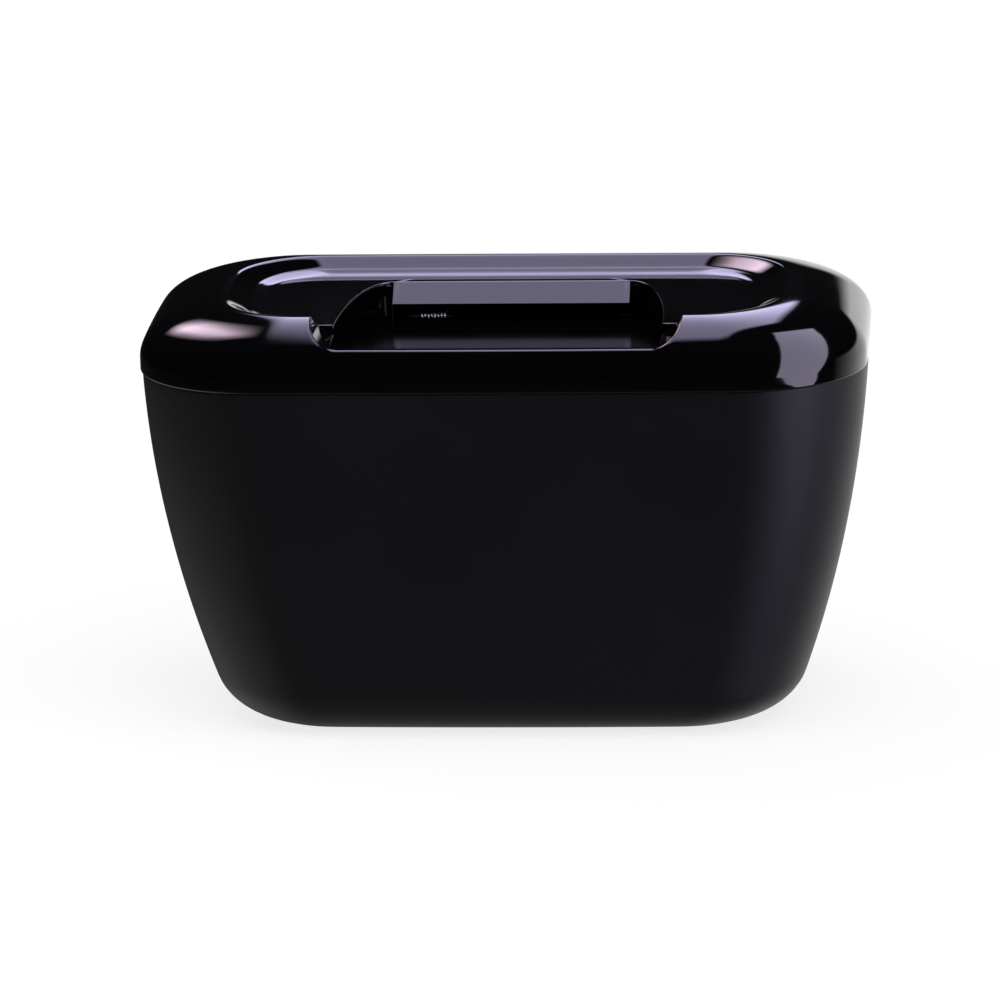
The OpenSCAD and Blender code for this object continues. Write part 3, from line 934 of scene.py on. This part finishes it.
        # The notch: a land above the front, then its two swept corners
        inner = [(x, ledge_y, self.notch_top(x)) for x in ledge[::-1]]
        inner += [row[0] for row in reversed(dish[:-1])]
        drop = self.notch_top(mouth_x)
        first = next(i for i, p in enumerate(edge) if p[0] > mouth_x - 1e-6)
        sill = [(x, self.sill_inner, z) for x, _, z in edge[:first + 1]]
        swept = edge[first:-1]
        cap = next(i for i, p in enumerate(swept) if p[2] > self.crest_z - self.cap_h)
        pairs = [0]
        for x, _, z in swept[1:]:
            gaps = [math.hypot(x - q[0], z - q[2]) for q in inner]
            pairs.append(max(pairs[-1], int(np.argmin(gaps))))
        for s in (-1, 1):
            def side(points: Sequence[Point], s: int = s) -> list[Point]:
                """The points on this side of the notch, in the order of an outward face."""
                placed = [(s * x, y, z) for x, y, z in points]
                return placed if s > 0 else placed[::-1]
            for i in range(first):
                sheet.face(side([edge[i], edge[i + 1], sill[i + 1], sill[i]]))
                sheet.face(side([sill[i], sill[i + 1], (*sill[i + 1][:2], sill[i + 1][2] - self.sill_h),
                                 (*sill[i][:2], sill[i][2] - self.sill_h)]))
            for k, (a, b) in enumerate(zip(swept[:cap], swept[1:])):
                sheet.face(side([a, b] + inner[pairs[k]:pairs[k + 1] + 1][::-1] + ([sill[-1]] if k == 0 else [])))
            sheet.face(side(swept[cap:] + [edge[-1]] + inner[pairs[cap]:][::-1]))
            for a, b in zip(ledge, ledge[1:]):
                sheet.face(side([(a, ledge_y, self.notch_top(a)), (a, ledge_y, self.dish_z),
                                 (b, ledge_y, self.dish_z), (b, ledge_y, self.notch_top(b))]))
            sheet.face(side([sill[-1], (mouth_x, ledge_y, drop), (mouth_x, ledge_y, self.cheek_z),
                             (mouth_x, self.sill_inner, self.cheek_z),
                             (mouth_x, self.sill_inner, drop - self.sill_h)]))
            for k, (a, b) in enumerate(zip(swell, swell[1:])):
                middle = [(a[0], a[1], drop)] if k == 0 else []
                sheet.face(side([(a[0], a[1], self.dish_z), (b[0], b[1], self.dish_z),
                                 (b[0], b[1], self.cheek_z), (a[0], a[1], self.cheek_z)] + middle))
            sheet.crease(side(edge + inner[::-1][:len(dish) - 1] + [foot[0]]))
            sheet.crease(side(sill + [(mouth_x, ledge_y, drop), (mouth_x, ledge_y, self.dish_z)]))
        y, z = self.panel_low
        line = [self.mouth_half] + [float(x) for x in across] + [-self.mouth_half]
        sheet.patch([[(x, self.mouth_back, self.dish_z) for x in line], [(x, y, z) for x in line]])
        return sheet.finished("cover_moulding")

    def holders(self) -> list[bpy.types.Object]:
        """The wall behind the hinge, and the lugs that hold the pin."""
        front, back, low_z = self.stop
        wall = block("hinge_wall", (-self.lug_out, front, low_z), (self.lug_out, back, self.holder_top), 0.25)
        lugs = []
        for s in (-1, 1):
            low, high = sorted((s * self.lug_in, s * self.lug_out))
            stem = block("lug_stem", (low, self.pin_y - self.lug_r, self.pin_z),
                         (high, self.pin_y + self.lug_r, self.holder_top), 0.2)
            foot = rod("lug_foot", (low, high), (self.pin_y, self.pin_z), self.lug_r, vertices=48)
            soften(foot, 0.2)
            lugs += [stem, foot]
        return [wall] + lugs

    def build(self) -> bpy.types.Object:
        """Builds and dresses the cover.

        Returns:
            The finished piece.
        """
        cover = self.skin()
        with editing(cover, "EDGE"):
            pick_seams(cover)
            round_picked(self.edge_r)
        modify(cover, "SOLIDIFY", thickness=self.wall * MM, offset=-1.0, use_even_offset=False, use_rim=True)
        for vertex in cover.data.vertices:
            if vertex.co.z > (self.crest_z + 0.001) * MM:
                vertex.co.z = (self.crest_z - self.wall) * MM
        with editing(cover, "EDGE"):
            seam = self.ring(0.3, 0.3, 0.3, 26.2, 22.2)
            def on_lip(p: Vector) -> bool:
                """True on the outer edge of the cover's lower face."""
                return abs(p.z - SEAM_Z) < 0.01 and outside(seam, p)
            pick_edges(cover, lambda a, b: on_lip(a) and on_lip(b))
            round_picked(self.lip_r)
        holders = self.holders()
        for piece in [cover] + holders:
            smooth(piece, 35.0)
        cover = join("cover_moulding", [cover] + holders)
        hand_over(cover, Body.COVER, Slot.GLOSS, GLOSS, "cover")
        return cover


def outside(line: Outline, p: Vector) -> bool:
    """True if a point, seen from above, lies outside an outline."""
    half = line.right_half()
    ring = np.vstack([half, half[::-1][1:-1] * np.array([-1.0, 1.0])])
    x, y = ring[:, 0], ring[:, 1]
    x2, y2 = np.roll(x, -1), np.roll(y, -1)
    crossing = (y > p.y) != (y2 > p.y)
    with np.errstate(divide="ignore", invalid="ignore"):
        at = x + (p.y - y) / (y2 - y) * (x2 - x)
    return int(np.sum(crossing & (p.x < at))) % 2 == 0


@dataclass
class PushFlap:
    """The flap under the mouth, with the barrels that turn on the pin."""

    top: float = 88.4
    thick: float = 2.0
    front: float = -37.2
    corner_r: float = 5.0
    wide_half: float = 39.0
    wide_from: float = 14.8
    rear_half: float = 28.0
    rear_y: float = 15.2
    swell: tuple[float, float, float, float] = (29.0, 10.0, 17.0, 42.9)
    barrels: tuple[Spot, Spot] = ((-28.0, -24.6), (-13.6, 25.4))
    pin_y: float = 18.2
    pin_z: float = 88.2
    barrel_r: float = 2.3
    bore_r: float = 1.06
    edge_r: float = 0.3

    def outline(self) -> list[Spot]:
        """The plate's outline, anticlockwise from above."""
        r, w = self.corner_r, self.wide_half
        right = [(w - r + r * math.cos(a), self.front + r + r * math.sin(a))
                 for a in np.radians(np.linspace(-90, 0, 9))]
        side, out, back, length = self.swell
        for a in np.radians(np.linspace(90, 4, 30)):
            x, y = side + out * math.sin(a), back - length * (1 - math.cos(a))
            if y < self.wide_from:
                right.append((x, y))
        last = right[-1]
        right.append((last[0] - 1.2, self.wide_from))
        edge, (first, second) = self.rear_half, self.barrels
        rear = [(edge, self.wide_from), (edge, self.rear_y), (second[1], self.rear_y), (second[1], self.pin_y),
                (second[0], self.pin_y), (second[0], self.rear_y), (first[1], self.rear_y),
                (first[1], self.pin_y), (first[0], self.pin_y), (first[0], self.wide_from)]
        return right + rear + [(-x, y) for x, y in reversed(right)]

    def barrel(self, ends: Spot) -> bpy.types.Object:
        """One hinge barrel with its bore."""
        made = rod("barrel", ends, (self.pin_y, self.pin_z), self.barrel_r, vertices=64, end_fill_type="NOTHING")
        modify(made, "SOLIDIFY", thickness=(self.barrel_r - self.bore_r) * MM, offset=-1.0)
        soften(made, 0.2)
        return made

    def build(self) -> bpy.types.Object:
        """Builds and dresses the flap.

        Returns:
            The finished piece.
        """
        plate = ring_start("flap_plate", [(x, y, self.top - self.thick) for x, y in self.outline()], "NGON")
        with editing(plate, "FACE"):
            bpy.ops.mesh.select_all(action="SELECT")
            bpy.ops.mesh.extrude_region_move(TRANSFORM_OT_translate={"value": (0, 0, self.thick * MM)})
            mend()
        soften(plate, self.edge_r)
        flap = join("flap_plate", [plate] + [self.barrel(ends) for ends in self.barrels])
        smooth(flap, 35.0)
        # The flap gets the darker, weakly mirroring finish, which is painted shade for the inside of the mouth.
        hand_over(flap, Body.FLAP, Slot.GLOSS, SATIN_PAINTED_SHADE, "push_flap")
        return flap


@dataclass
class Hinge:
    """The steel pin and the torsion spring round it."""

    pin_y: float = 18.2
    pin_z: float = 88.2
    pin_r: float = 1.0
    pin_half: float = 31.4
    wire_r: float = 0.35
    coil_r: float = 1.65
    coil_from: float = -22.32
    coil_to: float = -15.88
    turns: float = 8.25
    steps: int = 20
    fixed_end: Spot = (2.25, 4.6)
    moving_leg: tuple[Spot, ...] = ((-11.0, -2.25), (-3.0, -2.25), (-0.6, -1.65))

    def pin(self) -> bpy.types.Object:
        """Builds and dresses the pin."""
        made = rod("pin_rod", (-self.pin_half, self.pin_half), (self.pin_y, self.pin_z), self.pin_r, vertices=48)
        soften(made, 0.25)
        smooth(made)
        hand_over(made, Body.COVER, Slot.STEEL, STEEL, "hinge_pin")
        return made

    def wire(self, name: str, points: Sequence[Point]) -> bpy.types.Object:
        """A length of round wire along points given from the pin's axis.

        Args:
            name: The piece's name.
            points: Where the wire runs.

        Returns:
            The wire, as a mesh with closed ends.
        """
        curve = bpy.data.curves.new(name, "CURVE")
        curve.dimensions = "3D"
        curve.bevel_depth = self.wire_r * MM
        curve.bevel_resolution = 3
        curve.use_fill_caps = True
        spline = curve.splines.new("POLY")
        spline.points.add(len(points) - 1)
        for spot, (x, y, z) in zip(spline.points, points):
            spot.co = (x * MM, (y + self.pin_y) * MM, (z + self.pin_z) * MM, 1.0)
        choose(put(name, curve))
        bpy.ops.object.convert(target="MESH")
        made = bpy.context.object
        smooth(made, 50.0, False)
        return made

    def build(self) -> None:
        """Builds the pin, the coil with its fixed leg, and the leg that moves with the flap."""
        self.pin()
        count = round(self.steps * self.turns)
        coil = []
        for i in range(count + 1):
            a = math.radians(-90 + 360 * self.turns * i / count)
            x = self.coil_from + (self.coil_to - self.coil_from) * i / count
            coil.append((x, self.coil_r * math.cos(a), self.coil_r * math.sin(a)))
        fixed = coil + [(self.coil_to, *self.fixed_end)]
        hand_over(self.wire("spring_coil", fixed), Body.COVER, Slot.STEEL, STEEL, "flap_spring")
        leg = [(self.coil_from, *spot) for spot in self.moving_leg]
        hand_over(self.wire("spring_leg", leg), Body.FLAP, Slot.STEEL, STEEL)


@dataclass
class HangingClip:
    """The clip: a strap in the socket, a bend over the top and a leg down the other side."""

    half: float = 13.0
    strap_y: float = 43.3
    thick: float = 2.4
    low: float = 44.0
    bend_z: float = 86.0
    gap: float = 12.0
    leg: float = 28.0
    tip_r: float = 2.0

    def build(self) -> bpy.types.Object:
        """Builds and dresses the clip.

        Returns:
            The finished piece.
        """
        middle = self.strap_y + self.thick / 2
        clip = start("clip_strap", bpy.ops.mesh.primitive_plane_add, size=1.0,
                     location=(0, middle * MM, self.low * MM))
        clip.scale = (2 * self.half * MM, self.thick * MM, 1)
        settle(clip)
        centre = (0, (self.strap_y + self.thick + self.gap / 2) * MM, self.bend_z * MM)
        with editing(clip, "FACE"):
            bpy.ops.mesh.select_all(action="SELECT")
            bpy.ops.mesh.extrude_region_move(
                TRANSFORM_OT_translate={"value": (0, 0, (self.bend_z - self.low) * MM)})
            bpy.ops.mesh.spin(steps=28, dupli=False, angle=math.pi, center=centre, axis=(1, 0, 0))
            bpy.ops.mesh.extrude_region_move(TRANSFORM_OT_translate={"value": (0, 0, -self.leg * MM)})
            mend(0.01)
        soften(clip, 0.5)
        outer = self.strap_y + self.thick + self.gap
        tip = rod("clip_tip", (-self.half, self.half), (outer + self.thick - self.tip_r, self.bend_z - self.leg),
                  self.tip_r, vertices=48)
        soften(tip, 0.5)
        clip = join("clip_strap", [clip, tip])
        smooth(clip, 35.0)
        hand_over(clip, Body.CLIP, Slot.MATTE, MATTE, "hanging_clip")
        return clip


# The studio


@dataclass(frozen=True)
class Lamp:
    """A broad soft light from far away, which gloss doesn't mirror."""

    name: str
    way: Point
    strength: float
    spread: float = 70.0

    def hang(self) -> None:
        """Adds the lamp, so that it shines from its way towards the bin."""
        data = bpy.data.lights.new(self.name, "SUN")
        data.energy = self.strength
        data.angle = math.radians(self.spread)
        lamp = put(self.name, data)
        lamp.rotation_mode = "QUATERNION"
        lamp.rotation_quaternion = (-Vector(self.way)).to_track_quat("-Z", "Y")
        lamp.visible_camera = False
        lamp.visible_glossy = False


@dataclass(frozen=True)
class Softbox:
    """A pale shape in the studio's reflections, drawn on a flat map of the sky.

    The map's middle is straight up, its first axis points right and its second one backwards. A way
    (x, y, z) lies at (x, y) / (1 + z). The corners follow each other clockwise as seen on the map.
    """

    corners: tuple[Spot, ...]
    radiance: float
    colour: Point
    soft: float = 0.02

    def mask(self, recipe: Recipe, u: Signal, w: Signal) -> Signal:
        """1 inside the shape and 0 outside it.

        Args:
            recipe: The world's nodes.
            u: The first coordinate on the map.
            w: The second one.

        Returns:
            The mask.
        """
        shape: Any = 1.0
        for (u0, w0), (u1, w1) in zip(self.corners, self.corners[1:] + self.corners[:1]):
            length = math.hypot(u1 - u0, w1 - w0)
            inwards = (u - u0) * ((w1 - w0) / length) - (w - w0) * ((u1 - u0) / length)
            shape = recipe.spread(inwards, 0.0, self.soft, 0.0, 1.0) * shape
        return shape


@dataclass
class Studio:
    """Camera, lamps, world and floor."""

    azimuth: float = 5.0
    elevation: float = 15.2
    roll: float = -1.5
    distance: float = 1.8
    scale: float = 4.24
    centre: Spot = (511.5, 491.0)
    target: Point = (0.0, 0.0, 0.05)
    fill: float = 0.08
    sweep: float = 1.2
    below: float = 0.25
    left_low: float = 0.75
    gloom: float = 0.006
    sweep_z: Spot = (0.10, 0.17)
    sweep_y: Spot = (0.05, 0.7)
    sweep_x: Spot = (-0.03, 0.03)
    sweep_lean: float = 0.09
    left_z: Spot = (-0.55, -0.3)
    left_x: Spot = (-0.15, -0.6)
    floor_glow: float = 1.28
    floor_share: float = 0.62
    lamps: list[Lamp] = field(default_factory=list)
    softboxes: list[Softbox] = field(default_factory=list)

    def camera(self) -> None:
        """Places the camera as the photograph's stood."""
        a, e, r = (math.radians(v) for v in (self.azimuth, self.elevation, self.roll))
        back = Vector((math.sin(a) * math.cos(e), -math.cos(a) * math.cos(e), math.sin(e)))
        right = (-back).cross(Vector((0, 0, 1))).normalized()
        up = right.cross(-back)
        right, up = right * math.cos(r) + up * math.sin(r), up * math.cos(r) - right * math.sin(r)
        per_metre = self.scale * 1000
        aim = Vector(self.target) - right * (self.centre[0] - 500) / per_metre
        aim += up * (self.centre[1] - 500) / per_metre
        data = bpy.data.cameras.new("camera")
        data.sensor_width = 36.0
        data.lens = 36.0 * per_metre * self.distance / 1000
        data.clip_end = 50.0
        made = put("camera", data)
        made.matrix_world = Matrix.Translation(aim + back * self.distance) @ Matrix(
            (right, up, back)).transposed().to_4x4()
        bpy.context.scene.camera = made

    def world(self) -> None:
        """White to the camera; in reflections softboxes and a pale sweep low down, and dark elsewhere."""
        world = bpy.data.worlds.new("studio")
        bpy.context.scene.world = world
        world.use_nodes = True
        recipe = Recipe(world.node_tree)
        camera, glossy, clear = recipe.outs("ShaderNodeLightPath", {}, (
            "Is Camera Ray", "Is Glossy Ray", "Is Transmission Ray"))
        way = recipe.node("ShaderNodeTexCoord", {}, {}, "Generated")
        x, y, z = recipe.outs("ShaderNodeSeparateXYZ", {"Vector": way}, ("X", "Y", "Z"))
        low = recipe.spread(z, *self.sweep_z, 1.0, 0.0)
        behind = recipe.spread(y, *self.sweep_y, 0.0, 1.0)
        right = recipe.spread(x + y * self.sweep_lean, *self.sweep_x, 0.0, 1.0)
        left = recipe.spread(z, *self.left_z, 1.0, 0.0) * recipe.spread(x, *self.left_x, 0.0, 1.0)
        seen = recipe.node("ShaderNodeMath", {"operation": "MAXIMUM"}, {0: camera, 1: clear})
        under = recipe.spread(z, -1.0, 0.0, 1.0, 0.0)
        mirror = glossy * (low * behind * right * self.sweep + left * self.left_low
                           + under * under * self.below + self.gloom)
        strength = seen + (1 - seen) * (mirror + (1 - glossy) * self.fill)
        shader = recipe.glow((1.0, 1.0, 1.0), strength)
        u, w = x / (z + 1.0), y / (z + 1.0)
        for box in self.softboxes:
            power = box.mask(recipe, u, w) * glossy * (box.radiance * (1 - seen))
            shader = recipe.node("ShaderNodeAddShader", {}, {0: shader, 1: recipe.glow(box.colour, power)})
        recipe.show("ShaderNodeOutputWorld", shader)

    def floor(self) -> None:
        """A plain pale floor that keeps the bin's shadow, and that the glossy cover doesn't mirror."""
        floor = start("floor", bpy.ops.mesh.primitive_plane_add, size=16.0, location=(0, 0, -0.0002))
        material = bpy.data.materials.new("pale_floor")
        material.use_nodes = True
        recipe = Recipe(material.node_tree)
        plain = recipe.node("ShaderNodeBsdfDiffuse", {}, {"Color": (0.9, 0.9, 0.9, 1)}, "BSDF")
        glow = recipe.node("ShaderNodeEmission", {}, {"Color": (1, 1, 1, 1), "Strength": self.floor_glow},
                           "Emission")
        recipe.show("ShaderNodeOutputMaterial",
                    recipe.node("ShaderNodeMixShader", {}, {0: self.floor_share, 1: plain, 2: glow}))
        floor.data.materials.append(material)
        floor.visible_glossy = False
        floor.visible_diffuse = False

    def build(self) -> None:
        """Sets up the whole studio."""
        self.camera()
        self.world()
        self.floor()
        for lamp in self.lamps:
            lamp.hang()
        bpy.context.scene.view_settings.view_transform = "Standard"


LAMPS = [Lamp("key", (0.35, -0.35, 0.87), 1.3), Lamp("fill", (-0.5, 0.25, 0.83), 0.9, 90.0)]

SOFTBOXES = [
    # Overhead, on the dish and the crest
    Softbox(((-0.105, 0.733), (0.027, 0.733), (0.111, 0.375), (-0.027, -0.222), (-0.066, -0.222)),
            4.2, (0.72, 0.66, 1.0)),
    # The window on the right of the shoulder
    Softbox(((0.144, 0.15), (0.24, 0.345), (1.201, -0.33), (1.532, -0.751), (0.631, -1.051)),
            4.6, (0.78, 0.72, 1.0), 0.012),
    # The pinkish patch on the left of the shoulder
    Softbox(((-0.435, 0.511), (-0.195, 0.565), (-0.09, 0.3), (-0.09, -0.03), (-0.294, 0.075),
             (-0.414, 0.315)), 10.0, (1.0, 0.76, 0.95), 0.12),
]


def main() -> None:
    """Builds the bin and its studio, and reports each piece."""
    Tub().build()
    Cover().build()
    PushFlap().build()
    Hinge().build()
    HangingClip().build()
    Studio(lamps=LAMPS, softboxes=SOFTBOXES).build()


if __name__ == "__main__":
    main()
